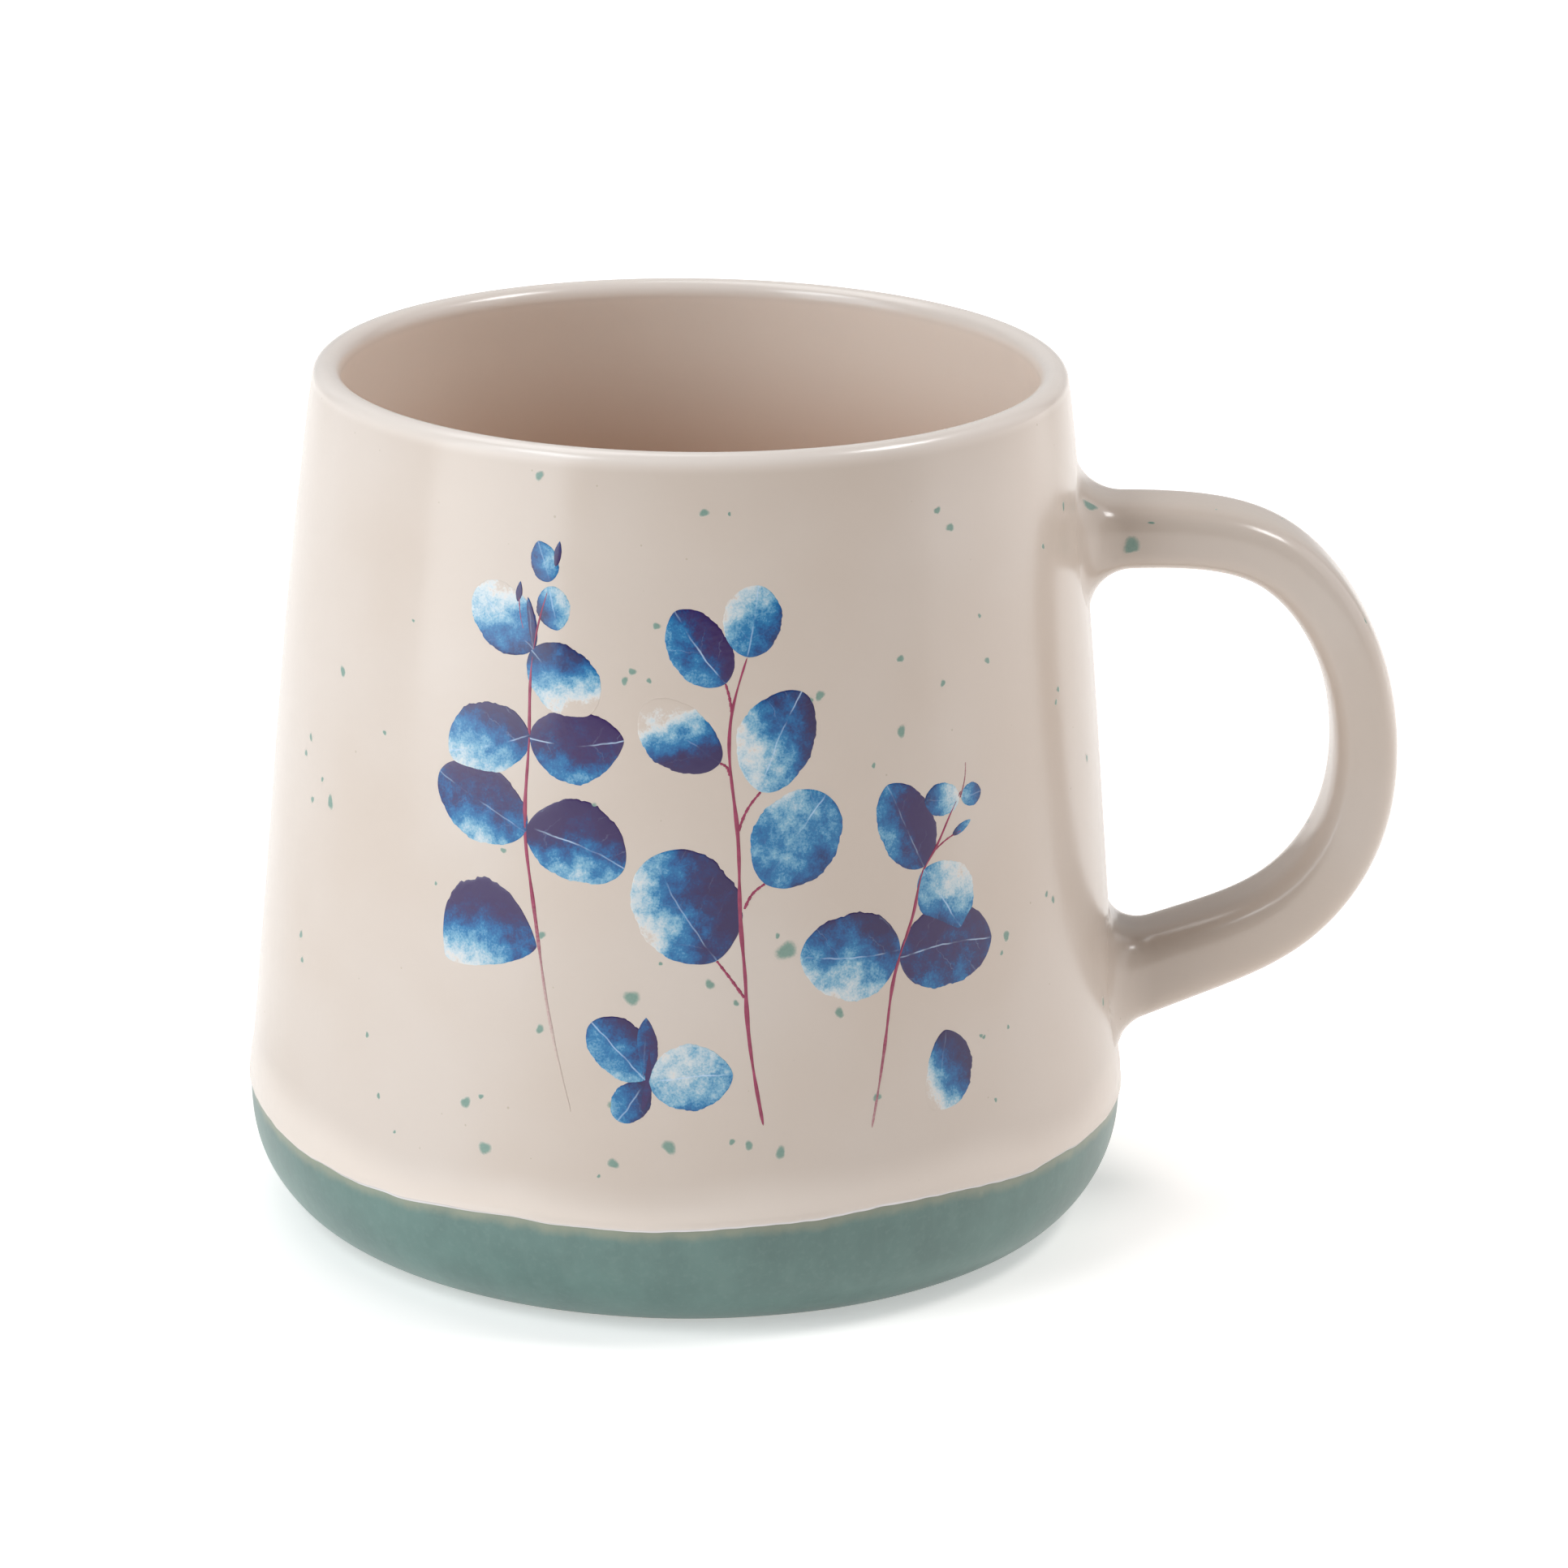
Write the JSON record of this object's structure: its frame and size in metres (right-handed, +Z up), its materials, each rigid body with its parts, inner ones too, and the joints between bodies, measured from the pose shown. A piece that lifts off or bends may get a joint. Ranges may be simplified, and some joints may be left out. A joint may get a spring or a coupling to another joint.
{
  "type": "stoneware mug",
  "caption": "Wide-bellied stoneware mug that narrows to the rim, with a strap handle, speckled cream glaze, a dipped teal base and a blue leaf-sprig print.",
  "frame": {"origin": "centre of the foot ring, on the plane that the mug rests on", "axes": "+Z up along the mug's axis, +X towards the handle, printed side facing -Y"},
  "size_m": [0.1316, 0.1014, 0.098],
  "materials": {
    "stoneware_clay": "matte unglazed stoneware",
    "cream_glaze": "satin gloss cream",
    "teal_glaze": "satin grey-teal",
    "teal_speckle": "satin oxide specks",
    "blue_print": "glossy fired print"
  },
  "bodies": {
    "root": {"clay_body": "stoneware_clay", "clay_handle": "stoneware_clay", "upper_handle_slip": "stoneware_clay", "lower_handle_slip": "stoneware_clay", "cream_glaze_outside": "cream_glaze", "cream_glaze_inside": "cream_glaze", "cream_glaze_handle": "cream_glaze", "teal_glaze_base": "teal_glaze", "foot_recess_glaze": "teal_glaze", "teal_speckles": "teal_speckle", "tall_left_sprig": "blue_print", "tall_centre_sprig": "blue_print", "short_right_sprig": "blue_print", "fallen_leaf_cluster": "blue_print", "single_fallen_leaf": "blue_print"}
  },
  "joints": []
}
